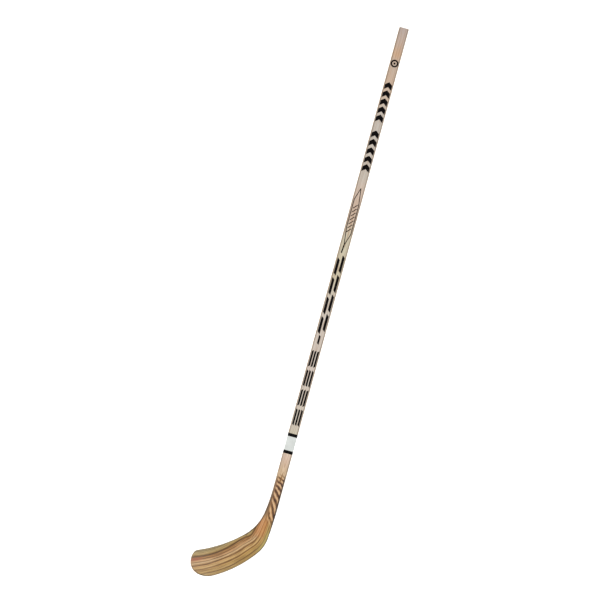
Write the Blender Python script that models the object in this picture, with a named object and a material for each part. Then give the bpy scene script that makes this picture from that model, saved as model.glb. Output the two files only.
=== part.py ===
"""Ice hockey stick: a laminated wooden shaft and a blade glued up from bent strips.

The stick lies on its back with the concave playing face up. The shaft runs along +Y to the butt,
the blade turns towards -X at the heel, and +Z points out of the playing face.

Every piece is laid out on one guide curve. The guide is the stick's outer edge: straight down the
back of the shaft, round the heel, then along the sole. A place on the stick is (s, d, h):
  s  the distance along the guide from the top of the hosel, negative up the shaft,
  d  the distance inwards from the guide, across the shaft or up the blade,
  h  the height above the middle surface, positive towards the playing face.
Lengths are in metres and angles in degrees.
"""
import math

import bmesh
import bpy
import numpy as np

# ---------------------------------------------------------------- driving dimensions
SHAFT_LENGTH = 1.524        # heel to butt
SHAFT_WIDTH = 0.0275
SHAFT_CORNER = 0.0035       # radius of the shaft's long corners
GLASS = 0.0007              # glass-fibre strip on each wide face of the shaft
ASH_PLY = 0.0029
CORE_PLY = 0.00198
CORE_PLIES = 5
GLUE_GAP = 0.0003           # clearance between neighbours
FEATHER = 0.0004            # thickness at which a sanded ply ends

HOSEL_TOP = 0.228           # above the heel, where the sanding of the cheeks starts
HOSEL_FOOT = 0.050          # above the heel, where the sanding ends
TONGUE_TOP = 0.205          # above the heel, tip of the blade's tongue
TONGUE_TIP = 0.0020         # thickness of the tongue at its tip

HEEL_EASE_TOP = 0.134       # above the heel, where the back edge starts to turn
HEEL_EASE_RADIUS = 1.230
HEEL_EASE_TURN = 4.7
HEEL_RADIUS = 0.090
HEEL_TURN = 31.3
ROCKER_RADIUS = 0.305       # of the sole between heel and toe
SOLE_LENGTH = 0.201         # along the sole from the heel's arc to the toe tip

THROAT_EASE_RADIUS = 0.520
THROAT_EASE_TURN = 7.8
THROAT_RADIUS = 0.129
HEEL_HEIGHT = 0.065         # of the blade at the heel
TOE_HEIGHT = 0.079          # of the blade at the toe
TOP_EDGE_EASE = 2.2         # how early the top edge rises to its full height
TOE_TIP_HEIGHT = 0.048      # of the foremost point above the sole
TOE_LOWER_ROUND = 0.066     # along the sole
TOE_UPPER_ROUND = 0.026     # along the top edge

STRIP_PITCH = 0.012         # of the blade's bent strips
BLADE_WOOD_HEEL = 0.0062    # wood thickness at the heel
BLADE_WOOD_TOE = 0.0038     # wood thickness at the toe
BLADE_GLASS = 0.0007
BLADE_CORNER = 0.0012       # rounding of the blade's edges
CURVE_HEADING = 42.0        # direction in which the blade bends, from -Y towards -X
CURVE_START = 0.0128        # where the bend begins, measured in that direction
CURVE_RUN = 0.184
CURVE_LIFT = 0.046          # rise of the toe at the end of the run
CURVE_POWER = 1.8

BAND_FILM = 0.0002
BAND_CLEARANCE = 0.0001     # film to shaft, in the recess that makes the bands finish flush
BAND_BLACK = 0.009          # width of each black band
BAND_WHITE = 0.0397
BAND_LOWER_MIDDLE = 0.285   # above the heel, middle of the lower black band

STATION_STEP = 0.0105       # between cross-sections where the guide is nearly straight
HEEL_STEP = 0.0055          # between cross-sections round the heel
TOE_SECTIONS = 9
EDGE_POINTS = 240           # along the blade's top edge while the throat is fitted
EASE_POINTS = 10            # along the throat's gentle upper arc
THROAT_POINTS = 20          # round the throat
WIDTH_POINTS = 460          # in the table of widths along the guide
HALVINGS = 60               # in the search for the throat's centre
SKIN_POINTS = 7             # across the blade's skins
CORNER_STEPS = 4            # round each corner of a band
WALL = 0.0001               # length over which the end walls of the bands' recess rise
SLIVER = 0.0006             # width at which a strip's pointed end is cut off

# ---------------------------------------------------------------- derived sizes
SHAFT_THICKNESS = (2 * (GLASS + ASH_PLY) + CORE_PLIES * CORE_PLY
                   + (CORE_PLIES + 3) * GLUE_GAP)
HALF_SHAFT = SHAFT_THICKNESS / 2
BUTT_S = HOSEL_TOP - SHAFT_LENGTH
TONGUE_S = HOSEL_TOP - TONGUE_TOP
FOOT_S = HOSEL_TOP - HOSEL_FOOT
EASE_S = HOSEL_TOP - HEEL_EASE_TOP
HEEL_S = EASE_S + HEEL_EASE_RADIUS * math.radians(HEEL_EASE_TURN)
ROCKER_S = HEEL_S + HEEL_RADIUS * math.radians(HEEL_TURN)
TOE_S = ROCKER_S + SOLE_LENGTH
RECESS = BAND_FILM + BAND_CLEARANCE
RECESS_FOOT = HOSEL_TOP - (BAND_LOWER_MIDDLE - BAND_BLACK / 2 - GLUE_GAP)
RECESS_HEAD = RECESS_FOOT - 2 * BAND_BLACK - BAND_WHITE - 4 * GLUE_GAP


# ---------------------------------------------------------------- the guide curve
def along_arc(start, heading, radius, length):
    """End point and heading after an arc that turns towards -X; heading 0 is -Y."""
    turned = heading + length / radius
    x = start[0] + radius * (math.cos(turned) - math.cos(heading))
    y = start[1] - radius * (math.sin(turned) - math.sin(heading))
    return (x, y), turned


def guide(s):
    """Point and heading on the guide curve at distance s below the top of the hosel."""
    point = (SHAFT_WIDTH / 2, HOSEL_TOP)
    straight = min(s, EASE_S)
    point = (point[0], point[1] - straight)
    heading = 0.0
    stretches = ((EASE_S, HEEL_S, HEEL_EASE_RADIUS),
                 (HEEL_S, ROCKER_S, HEEL_RADIUS),
                 (ROCKER_S, math.inf, ROCKER_RADIUS))
    for start, end, radius in stretches:
        if s > start:
            point, heading = along_arc(point, heading, radius, min(s, end) - start)
    return point, heading


def flat_place(s, d):
    """Plan position of the place (s, d), as x and y."""
    (x, y), heading = guide(s)
    return x - d * math.cos(heading), y + d * math.sin(heading)


def bend(x, y):
    """Rise of the blade's middle surface at x, y, and its slope along x and y."""
    turn = math.radians(CURVE_HEADING)
    run = -x * math.sin(turn) - y * math.cos(turn) + CURVE_START
    if run <= 0:
        return 0.0, 0.0, 0.0
    rise = CURVE_LIFT * (run / CURVE_RUN) ** CURVE_POWER
    slope = CURVE_POWER * rise / run
    return rise, -slope * math.sin(turn), -slope * math.cos(turn)


def place(s, d, h):
    """World position of the place (s, d, h), thickness measured square to the surface."""
    x, y = flat_place(s, d)
    rise, slope_x, slope_y = bend(x, y)
    scale = h / math.sqrt(1 + slope_x ** 2 + slope_y ** 2)
    return x - scale * slope_x, y - scale * slope_y, HALF_SHAFT + rise + scale


# ---------------------------------------------------------------- the outline
def top_edge_height(s):
    """Height of the blade's top edge above the sole, before the throat and the toe are rounded."""
    part = min(max((s - ROCKER_S) / (TOE_S - ROCKER_S), 0.0), 1.0)
    return HEEL_HEIGHT + (TOE_HEIGHT - HEEL_HEIGHT) * (1 - (1 - part) ** TOP_EDGE_EASE)


def throat_line():
    """Plan points down the shaft's inner edge, round the throat and along the top edge."""
    edge = np.array([flat_place(s, top_edge_height(s))
                     for s in np.linspace(ROCKER_S, TOE_S, EDGE_POINTS)])
    turn = math.radians(THROAT_EASE_TURN)
    centre_x = (-SHAFT_WIDTH / 2 - THROAT_EASE_RADIUS * (1 - math.cos(turn))
                - THROAT_RADIUS * math.cos(turn))
    high = HOSEL_TOP + THROAT_RADIUS
    low = -HOSEL_TOP
    for _ in range(HALVINGS):
        centre_y = (high + low) / 2
        reach = np.hypot(edge[:, 0] - centre_x, edge[:, 1] - centre_y)
        if reach.min() > THROAT_RADIUS:
            high = centre_y
        else:
            low = centre_y
    touch = int(reach.argmin())
    ease_start = centre_y - THROAT_RADIUS * math.sin(turn) + THROAT_EASE_RADIUS * math.sin(turn)
    line = [(-SHAFT_WIDTH / 2, SHAFT_LENGTH), (-SHAFT_WIDTH / 2, ease_start)]
    for part in np.linspace(1 / EASE_POINTS, 1, EASE_POINTS):
        line.append(along_arc(line[1], 0.0, THROAT_EASE_RADIUS, part * turn * THROAT_EASE_RADIUS)[0])
    last = line[-1]
    end_turn = math.atan2(edge[touch, 1] - centre_y, edge[touch, 0] - centre_x)
    swing = -end_turn - turn
    for part in np.linspace(1 / THROAT_POINTS, 1, THROAT_POINTS):
        line.append(along_arc(last, turn, THROAT_RADIUS, part * swing * THROAT_RADIUS)[0])
    line.extend(tuple(point) for point in edge[touch + 1:])
    return np.array(line)


def width_table():
    """Stick width, from the guide to the inner edge, at many places along the guide."""
    line = throat_line()
    starts = line[:-1]
    runs = line[1:] - starts
    table = []
    for s in np.linspace(0.0, TOE_S, WIDTH_POINTS):
        (x, y), heading = guide(s)
        inwards = np.array((-math.cos(heading), math.sin(heading)))
        offset = starts - (x, y)
        cross = inwards[0] * runs[:, 1] - inwards[1] * runs[:, 0]
        cross[np.abs(cross) < 1e-12] = 1e-12
        reach = (offset[:, 0] * runs[:, 1] - offset[:, 1] * runs[:, 0]) / cross
        part = (offset[:, 0] * inwards[1] - offset[:, 1] * inwards[0]) / cross
        hits = reach[(part >= -1e-6) & (part <= 1 + 1e-6) & (reach > 0)]
        table.append((s, hits.min() if len(hits) else top_edge_height(s)))
    return np.array(table)


WIDTHS = width_table()


def outline(s):
    """Lowest and highest d of the stick at s, with the toe rounded by two quarter ellipses."""
    if s <= 0:
        return 0.0, SHAFT_WIDTH
    high = float(np.interp(s, WIDTHS[:, 0], WIDTHS[:, 1]))
    low = 0.0
    lower = (s - (TOE_S - TOE_LOWER_ROUND)) / TOE_LOWER_ROUND
    upper = (s - (TOE_S - TOE_UPPER_ROUND)) / TOE_UPPER_ROUND
    if lower > 0:
        low = TOE_TIP_HEIGHT * (1 - math.sqrt(max(0.0, 1 - lower ** 2)))
    if upper > 0:
        high = TOE_TIP_HEIGHT + (high - TOE_TIP_HEIGHT) * math.sqrt(max(0.0, 1 - upper ** 2))
    return low, high


def stations():
    """Distances along the guide of the cross-sections that all blade pieces share."""
    toe_start = TOE_S - TOE_LOWER_ROUND
    marks = []
    for start, end, step in ((0.0, HEEL_S, STATION_STEP), (HEEL_S, ROCKER_S, HEEL_STEP),
                             (ROCKER_S, toe_start, STATION_STEP)):
        count = max(1, round((end - start) / step))
        marks.extend(start + (end - start) * i / count for i in range(count))
    for i in range(TOE_SECTIONS + 1):
        marks.append(toe_start + TOE_LOWER_ROUND * math.sin(i / TOE_SECTIONS * math.pi / 2))
    return marks


STATIONS = stations()


# ---------------------------------------------------------------- thickness
def strip_half(s):
    """Half thickness of the bent strips: a wedge in the hosel, then a taper to the toe."""
    if s < HEEL_S:
        part = (s - TONGUE_S) / (HEEL_S - TONGUE_S)
        return (TONGUE_TIP + (BLADE_WOOD_HEEL - TONGUE_TIP) * part) / 2
    part = (s - HEEL_S) / (TOE_S - HEEL_S)
    return (BLADE_WOOD_HEEL + (BLADE_WOOD_TOE - BLADE_WOOD_HEEL) * part) / 2


def sanding(s):
    """0 on the full shaft and 1 below the hosel, easing in and out."""
    part = min(max(s / FOOT_S, 0.0), 1.0)
    return part * part * (3 - 2 * part)


def wood_half(s):
    """Half thickness of all the wood under the glass skins."""
    shaft = HALF_SHAFT - GLASS - GLUE_GAP
    if s <= 0:
        return shaft
    blend = sanding(s)
    return shaft * (1 - blend) + strip_half(s) * blend


def skin_half(s):
    """Half thickness to the outside of the glass skins."""
    glass = GLASS + (BLADE_GLASS - GLASS) * sanding(s)
    return wood_half(s) + GLUE_GAP + glass


def recess(s):
    """Depth of the shallow recess right round the shaft that takes the bands."""
    return RECESS if RECESS_HEAD < s < RECESS_FOOT else 0.0


def corner(s):
    """Radius of the long corners."""
    return SHAFT_CORNER + (BLADE_CORNER - SHAFT_CORNER) * sanding(s) - recess(s)


def side_inset(s, h):
    """How far the side stands in at height h, because of the recess and the rounded corner."""
    radius = corner(s)
    into = radius - (skin_half(s) - recess(s) - abs(h))
    if into <= 0:
        return recess(s)
    return recess(s) + radius - math.sqrt(max(0.0, radius ** 2 - into ** 2))


# ---------------------------------------------------------------- mesh helpers
def clear_scene():
    for item in list(bpy.data.objects):
        bpy.data.objects.remove(item, do_unlink=True)


def material(name, colour, roughness):
    made = bpy.data.materials.new(name)
    made.use_nodes = True
    shader = made.node_tree.nodes["Principled BSDF"]
    shader.inputs["Base Color"].default_value = (*colour, 1.0)
    shader.inputs["Roughness"].default_value = roughness
    shader.inputs["Metallic"].default_value = 0.0
    return made


def add_object(name, mesh_maker, look):
    """Link an object whose closed mesh comes from mesh_maker(bm), with its faces pointing out."""
    bm = bmesh.new()
    mesh_maker(bm)
    bmesh.ops.recalc_face_normals(bm, faces=bm.faces)
    mesh = bpy.data.meshes.new(name)
    bm.to_mesh(mesh)
    bm.free()
    mesh.materials.append(look)
    made = bpy.data.objects.new(name, mesh)
    bpy.context.collection.objects.link(made)
    return made


def loft(bm, rings):
    """Closed solid through rings of (row_a, row_b), two rows with equal numbers of points."""
    loops = []
    for row_a, row_b in rings:
        loops.append([bm.verts.new(point) for point in list(row_a) + list(row_b)[::-1]])
    size = len(loops[0])
    for near, far in zip(loops, loops[1:]):
        for i in range(size):
            j = (i + 1) % size
            bm.faces.new((near[i], near[j], far[j], far[i]))
    for loop in (loops[0], loops[-1]):
        for i in range(size // 2 - 1):
            bm.faces.new((loop[i], loop[i + 1], loop[size - 2 - i], loop[size - 1 - i]))


def layer_ring(s, low_d, high_d, low_h, high_h, across):
    """One cross-section of a layer that follows the rounded corners, across points wide."""
    rows = []
    for h in (low_h, high_h):
        inset = side_inset(s, h)
        spots = np.linspace(low_d + inset, high_d - inset, across)
        rows.append([place(s, d, h) for d in spots])
    return rows


def side_ring(s, low_h, high_h, levels):
    """One cross-section of a shaft ply, with its two rounded sides as rows of levels points."""
    reach = skin_half(s) - recess(s)
    heights = np.linspace(max(low_h, -reach), min(high_h, reach), levels)
    left = [place(s, SHAFT_WIDTH - side_inset(s, h), h) for h in heights]
    right = [place(s, side_inset(s, h), h) for h in heights]
    return left, right


# ---------------------------------------------------------------- shaft
def ply_bands():
    """Lowest and highest h of every ply of the full shaft, from back to front, by name."""
    bands = []
    h = -HALF_SHAFT
    stack = [("shaft_glass_back", GLASS), ("shaft_ash_back", ASH_PLY)]
    stack += [(f"shaft_core_ply_{i + 1}", CORE_PLY) for i in range(CORE_PLIES)]
    stack += [("shaft_ash_front", ASH_PLY), ("shaft_glass_front", GLASS)]
    for name, thickness in stack:
        bands.append((name, h, h + thickness))
        h += thickness + GLUE_GAP
    return bands


def ply_limits(s, inner, outer):
    """The ply's inner and outer distance from the middle at s, cut by the slot and the sanding."""
    near = inner
    if s > TONGUE_S - GLUE_GAP:
        near = max(inner, strip_half(s) + GLUE_GAP)
    return near, min(outer, wood_half(s))


def ply_end(inner, outer):
    """Distance along the guide at which a ply has been cut down to a feather edge."""
    for s in np.arange(0.0, FOOT_S, 0.00025):
        near, far = ply_limits(s, inner, outer)
        if far - near < FEATHER:
            return float(s)
    return FOOT_S


def shaft_marks():
    """Cross-sections of the full shaft: the butt and both ends of the bands' recess."""
    return [BUTT_S, RECESS_HEAD, RECESS_HEAD + WALL, RECESS_FOOT - WALL, RECESS_FOOT]


def shaft_ply(name, low, high, look):
    """A full-length ply; its lower end is cut by the tongue's slot and the sanded cheeks."""
    def glass(bm):
        marks = shaft_marks() + [-GLUE_GAP / 2]
        loft(bm, [side_ring(s, low, high, 4) for s in marks])

    def centre(bm):
        marks = shaft_marks() + [0.0, TONGUE_S - GLUE_GAP]
        loft(bm, [side_ring(s, low, high, 2) for s in marks])

    def cheek(bm):
        side = 1 if low > 0 else -1
        inner, outer = sorted((abs(low), abs(high)))
        end = ply_end(inner, outer)
        marks = shaft_marks() + [s for s in STATIONS if s < end - STATION_STEP / 3]
        tip = TONGUE_S - GLUE_GAP
        if tip < end:
            marks = sorted(set(marks + [tip, tip + GLUE_GAP / 2]))
        marks = [s for s in marks if s < end - GLUE_GAP] + [end]
        rings = []
        for s in marks:
            near, far = ply_limits(s, inner, outer)
            rings.append(side_ring(s, side * near, side * far, 4))
        loft(bm, rings)

    if "glass" in name:
        return add_object(name, glass, look)
    if low < 0 < high:
        return add_object(name, centre, look)
    return add_object(name, cheek, look)


# ---------------------------------------------------------------- blade
def strip_spots(s, low, high):
    """The d and half thickness of each line of a strip at s; wood beside the cheeks is thicker."""
    inside = strip_half(s)
    full = wood_half(s)
    edge_low, edge_high = outline(s)
    bottom = max(low, edge_low)
    top = min(high, edge_high)
    shoulder = SHAFT_WIDTH + GLUE_GAP / 2
    if high <= SHAFT_WIDTH or low >= SHAFT_WIDTH:
        half = inside if high <= SHAFT_WIDTH else full
        return [(bottom + (top - bottom) * part, half) for part in (0.0, 0.5, 1.0)]
    if s < FOOT_S:
        if top >= shoulder + 3 * GLUE_GAP:
            return [(bottom, inside), (shoulder, inside), (shoulder + GLUE_GAP, full), (top, full)]
        top = min(top, SHAFT_WIDTH)
    return [(bottom + (top - bottom) * part, inside) for part in (0.0, 0.4, 0.6, 1.0)]


def strip_range(low, high):
    """First and last s of a strip: the tongue's tip or the throat, and the toe."""
    marks = np.arange(TONGUE_S, TOE_S, 0.0002)
    kept = []
    for s in marks:
        edge_low, edge_high = outline(s)
        if min(high, edge_high) - max(low, edge_low) > SLIVER:
            kept.append(s)
    return float(kept[0]), float(kept[-1])


def blade_strip(name, low, high, look):
    start, end = strip_range(low, high)
    inner = [s for s in STATIONS if start + 0.002 < s < end - 0.0008]
    straddles = low < SHAFT_WIDTH < high

    def solid(bm):
        rings = []
        stepped = False
        for s in [start] + inner + [end]:
            spots = strip_spots(s, low, high)
            tall = straddles and spots[2][1] > spots[1][1]
            if tall and not stepped:
                lead = s - 2 * GLUE_GAP
                flat = [(d, strip_half(lead)) for d, _ in spots]
                rings.append(strip_ring(lead, flat))
                stepped = True
            rings.append(strip_ring(s, spots))
        loft(bm, rings)

    return add_object(name, solid, look)


def strip_ring(s, spots):
    back = [place(s, d, -half) for d, half in spots]
    front = [place(s, d, half) for d, half in spots]
    return back, front


def blade_skin(name, side, look):
    """Glass skin over the whole blade and hosel, flush with the shaft's glass strip."""
    def solid(bm):
        rings = []
        for s in [GLUE_GAP / 2] + STATIONS[1:-1] + [TOE_S - SLIVER / 2]:
            low_d, high_d = outline(s)
            inner_h = side * (wood_half(s) + GLUE_GAP)
            rings.append(layer_ring(s, low_d, high_d, inner_h, side * skin_half(s),
                                    SKIN_POINTS))
        loft(bm, rings)

    return add_object(name, solid, look)


# ---------------------------------------------------------------- bands
def rounded_section(y, inwards):
    """Points round the shaft's section at y, moved inwards, starting at the back."""
    radius = SHAFT_CORNER - inwards
    half_x = SHAFT_WIDTH / 2 - SHAFT_CORNER
    half_z = HALF_SHAFT - SHAFT_CORNER
    points = []
    for quarter, (sign_x, sign_z) in enumerate(((1, -1), (1, 1), (-1, 1), (-1, -1))):
        for step in range(CORNER_STEPS + 1):
            angle = math.radians(90 * (quarter - 1 + step / CORNER_STEPS))
            points.append((sign_x * half_x + radius * math.cos(angle), y,
                           HALF_SHAFT + sign_z * half_z + radius * math.sin(angle)))
    return points


def band(name, low_y, high_y, look):
    """A sleeve of film right round the shaft, flush with its surface."""
    def solid(bm):
        loops = []
        for y, inwards in ((low_y, BAND_FILM), (low_y, 0.0), (high_y, 0.0), (high_y, BAND_FILM)):
            loops.append([bm.verts.new(point) for point in rounded_section(y, inwards)])
        for near, far in zip(loops, loops[1:] + loops[:1]):
            for i in range(len(near)):
                j = (i + 1) % len(near)
                bm.faces.new((near[i], near[j], far[j], far[i]))

    return add_object(name, solid, look)


# ---------------------------------------------------------------- assembly
def build_shaft():
    glass = material("clear glass fibre", (0.63, 0.53, 0.41), 0.35)
    ash = material("ash", (0.61, 0.49, 0.36), 0.5)
    core = material("core wood", (0.66, 0.55, 0.42), 0.55)
    looks = {"glass": glass, "ash": ash, "core": core}
    return [shaft_ply(name, low, high, looks[name.split("_")[1]])
            for name, low, high in ply_bands()]


def build_blade():
    shades = ((0.56, 0.37, 0.19), (0.61, 0.42, 0.22), (0.50, 0.31, 0.15))
    made = []
    count = math.ceil((TOE_HEIGHT - SLIVER) / STRIP_PITCH)
    for i in range(count):
        look = material(f"blade wood {i + 1}", shades[i % len(shades)], 0.5)
        low = i * STRIP_PITCH + (GLUE_GAP / 2 if i else 0.0)
        high = (i + 1) * STRIP_PITCH - GLUE_GAP / 2
        made.append(blade_strip(f"blade_strip_{i + 1}", low, high, look))
    skin = material("blade glass and resin", (0.55, 0.38, 0.20), 0.3)
    made.append(blade_skin("blade_glass_front", 1, skin))
    made.append(blade_skin("blade_glass_back", -1, skin))
    return made


def build_bands():
    black = material("black film", (0.01, 0.008, 0.01), 0.35)
    white = material("white film", (0.68, 0.70, 0.68), 0.35)
    lower = BAND_LOWER_MIDDLE - BAND_BLACK / 2
    first = lower + BAND_BLACK
    second = first + GLUE_GAP + BAND_WHITE
    return [band("band_black_lower", lower, first, black),
            band("band_white", first + GLUE_GAP, second, white),
            band("band_black_upper", second + GLUE_GAP, second + GLUE_GAP + BAND_BLACK, black)]


def stand_on_origin(pieces):
    """Parent all pieces to one empty that puts the bottom centre of the stick at the origin."""
    points = np.array([vertex.co for piece in pieces for vertex in piece.data.vertices])
    low = points.min(axis=0)
    high = points.max(axis=0)
    stick = bpy.data.objects.new("stick", None)
    bpy.context.collection.objects.link(stick)
    stick.location = (-(low[0] + high[0]) / 2, -(low[1] + high[1]) / 2, -low[2])
    for piece in pieces:
        piece.parent = stick


def main():
    clear_scene()
    stand_on_origin(build_shaft() + build_blade() + build_bands())
    bpy.context.view_layer.update()


main()
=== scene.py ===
"""Ice hockey stick: the detailed pieces, their wood, film and ink, the floor, the lights and the camera.

The pieces follow the same guide curve as the solids. A place on the stick is (s, d, h):
  s  the distance along the outer edge from the top of the hosel, negative up the shaft,
  d  the distance inwards from that edge, across the shaft or up the blade,
  h  the height above the middle surface, positive towards the playing face.
Lengths are in metres and angles in degrees.
"""

import math
from functools import reduce

import bpy
import numpy as np
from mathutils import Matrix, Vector


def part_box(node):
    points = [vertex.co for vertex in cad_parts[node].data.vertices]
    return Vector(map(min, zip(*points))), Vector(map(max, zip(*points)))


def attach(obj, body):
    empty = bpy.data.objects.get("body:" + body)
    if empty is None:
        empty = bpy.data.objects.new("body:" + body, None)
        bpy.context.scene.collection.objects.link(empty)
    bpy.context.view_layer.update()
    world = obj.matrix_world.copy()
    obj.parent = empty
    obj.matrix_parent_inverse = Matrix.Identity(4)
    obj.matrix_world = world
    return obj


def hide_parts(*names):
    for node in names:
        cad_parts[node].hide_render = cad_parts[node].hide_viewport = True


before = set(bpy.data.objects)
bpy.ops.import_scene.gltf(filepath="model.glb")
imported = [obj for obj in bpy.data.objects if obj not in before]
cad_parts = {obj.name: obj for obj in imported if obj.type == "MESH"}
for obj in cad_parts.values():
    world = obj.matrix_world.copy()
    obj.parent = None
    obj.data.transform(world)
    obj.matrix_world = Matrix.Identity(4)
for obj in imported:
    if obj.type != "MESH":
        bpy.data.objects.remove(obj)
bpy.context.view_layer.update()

# ---- dimensions of the solids
SHAFT_LENGTH = 1.524
SHAFT_WIDTH = 0.0275
SHAFT_CORNER = 0.0035
GLASS = 0.0007
ASH_PLY = 0.0029
CORE_PLY = 0.00198
CORE_PLIES = 5
GLUE_GAP = 0.0003

HOSEL_TOP = 0.228
HOSEL_FOOT = 0.050
TONGUE_TOP = 0.205
TONGUE_TIP = 0.0020

HEEL_EASE_TOP = 0.134
HEEL_EASE_RADIUS = 1.230
HEEL_EASE_TURN = 4.7
HEEL_RADIUS = 0.090
HEEL_TURN = 31.3
ROCKER_RADIUS = 0.305
SOLE_LENGTH = 0.201

THROAT_EASE_RADIUS = 0.520
THROAT_EASE_TURN = 7.8
THROAT_RADIUS = 0.129
HEEL_HEIGHT = 0.065
TOE_HEIGHT = 0.079
TOP_EDGE_EASE = 2.2
TOE_TIP_HEIGHT = 0.048
TOE_LOWER_ROUND = 0.066
TOE_UPPER_ROUND = 0.026

STRIP_PITCH = 0.012
BLADE_WOOD_HEEL = 0.0062
BLADE_WOOD_TOE = 0.0038
BLADE_GLASS = 0.0007
BLADE_CORNER = 0.0012
CURVE_HEADING = 42.0
CURVE_START = 0.0128
CURVE_RUN = 0.184
CURVE_LIFT = 0.046
CURVE_POWER = 1.8

BAND_BLACK = 0.009
BAND_WHITE = 0.0397
BAND_LOWER_MIDDLE = 0.285

# ---- finer sizes of the pieces
CLOSING = 0.0001            # how far each piece grows towards its neighbours, into the glue gap
BUTT_ROUND = 0.0008         # radius that breaks the butt's sharp edges
FEATHER = 0.00015           # thinnest that a ply is cut
SLIVER = 0.00025            # narrowest that a strip is cut
TIP_CUT = 0.00003           # how far the skins stop short of the toe's tip, where they have no height
FILM_PROUD = 0.00012        # bands above the shaft's surface
FILM_EDGE = FILM_PROUD * 0.6
FILM_UNDER = 0.00002
FILM_ROUND = 0.0001
INK_PROUD = 0.00005
INK_UNDER = 0.00001
LIGHT = 1.3                 # how brightly the studio lights a flat white surface

# ---- fineness of the meshes and maps
EDGE_POINTS = 480           # along the top edge of the blade
EASE_POINTS = 20            # along the throat's two arcs
THROAT_POINTS = 50
WIDTH_POINTS = 460          # along the guide
HALVINGS = 60               # of the range that holds the throat's centre
FINE_STEP = 0.003           # between cross-sections of the blade
CUT_STEP = 0.00025          # between places tried for the end of a ply
TOE_STEPS = 40
ROW_STATIONS = 6            # cross-sections of the shaft in each row of its map
PLY_POINTS = 9              # up one side of a ply
SKIN_POINTS = 22            # across a skin's face, between its rounded edges
SKIN_TURN_POINTS = 5        # round each of those edges
STRIP_POINTS = 7            # up one side of a strip
BAND_CORNER_STEPS = 8
BAND_CORNER_RUN = 0.0007    # grain distance for each step round a band's corner
BAND_FACE_RUN = 0.015       # and across each of its faces
SHAFT_ROWS = 7              # a long piece's baked map holds its length in this many rows
BLADE_ROWS = 2
MAP_MARGIN = 0.02           # bare share at each end of a row
HIDDEN_PLY = 0.06           # share of the map for faces that lie in a glue line
HIDDEN_SKIN = 0.05
NO_RIM = (1.0, 1.0)         # farther from both edges than any painted edge shade reaches
TINY = 1e-6

# ---- derived sizes
SHAFT_THICKNESS = (2 * (GLASS + ASH_PLY) + CORE_PLIES * CORE_PLY
                   + (CORE_PLIES + 3) * GLUE_GAP)
HALF_SHAFT = SHAFT_THICKNESS / 2
BUTT_S = HOSEL_TOP - SHAFT_LENGTH
TONGUE_S = HOSEL_TOP - TONGUE_TOP
FOOT_S = HOSEL_TOP - HOSEL_FOOT
EASE_S = HOSEL_TOP - HEEL_EASE_TOP
HEEL_S = EASE_S + HEEL_EASE_RADIUS * math.radians(HEEL_EASE_TURN)
ROCKER_S = HEEL_S + HEEL_RADIUS * math.radians(HEEL_TURN)
TOE_S = ROCKER_S + SOLE_LENGTH
STRIPS = math.ceil(TOE_HEIGHT / STRIP_PITCH)

SHAFT_LOW, SHAFT_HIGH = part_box("shaft_glass_back")
ORIGIN = np.array(((SHAFT_LOW.x + SHAFT_HIGH.x) / 2, SHAFT_HIGH.y - SHAFT_LENGTH, SHAFT_LOW.z))


# ---- the guide curve
def along_arc(start, heading, radius, length):
    """End point and heading after an arc that turns towards -X; heading 0 is -Y."""
    turned = heading + length / radius
    x = start[0] + radius * (math.cos(turned) - math.cos(heading))
    y = start[1] - radius * (math.sin(turned) - math.sin(heading))
    return (x, y), turned


def guide(s):
    """Point and heading on the guide curve at distance s below the top of the hosel."""
    point = (SHAFT_WIDTH / 2, HOSEL_TOP - min(s, EASE_S))
    heading = 0.0
    stretches = ((EASE_S, HEEL_S, HEEL_EASE_RADIUS),
                 (HEEL_S, ROCKER_S, HEEL_RADIUS),
                 (ROCKER_S, math.inf, ROCKER_RADIUS))
    for start, end, radius in stretches:
        if s > start:
            point, heading = along_arc(point, heading, radius, min(s, end) - start)
    return point, heading


def flat_place(s, d):
    """Plan position of the place (s, d), as x and y."""
    (x, y), heading = guide(s)
    return x - d * math.cos(heading), y + d * math.sin(heading)


def bend(x, y):
    """Rise of the blade's middle surface at x, y, and its slope along x and y."""
    turn = math.radians(CURVE_HEADING)
    run = -x * math.sin(turn) - y * math.cos(turn) + CURVE_START
    if run <= 0:
        return 0.0, 0.0, 0.0
    rise = CURVE_LIFT * (run / CURVE_RUN) ** CURVE_POWER
    slope = CURVE_POWER * rise / run
    return rise, -slope * math.sin(turn), -slope * math.cos(turn)


def place(s, d, h):
    """World position of the place (s, d, h), thickness measured square to the surface."""
    x, y = flat_place(s, d)
    rise, slope_x, slope_y = bend(x, y)
    scale = h / math.sqrt(1 + slope_x ** 2 + slope_y ** 2)
    local = np.array((x - scale * slope_x, y - scale * slope_y, HALF_SHAFT + rise + scale))
    return local + ORIGIN


# ---- the outline
def top_edge_height(s):
    """Height of the blade's top edge above the sole, before the throat and the toe are rounded."""
    part = min(max((s - ROCKER_S) / (TOE_S - ROCKER_S), 0.0), 1.0)
    return HEEL_HEIGHT + (TOE_HEIGHT - HEEL_HEIGHT) * (1 - (1 - part) ** TOP_EDGE_EASE)


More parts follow.
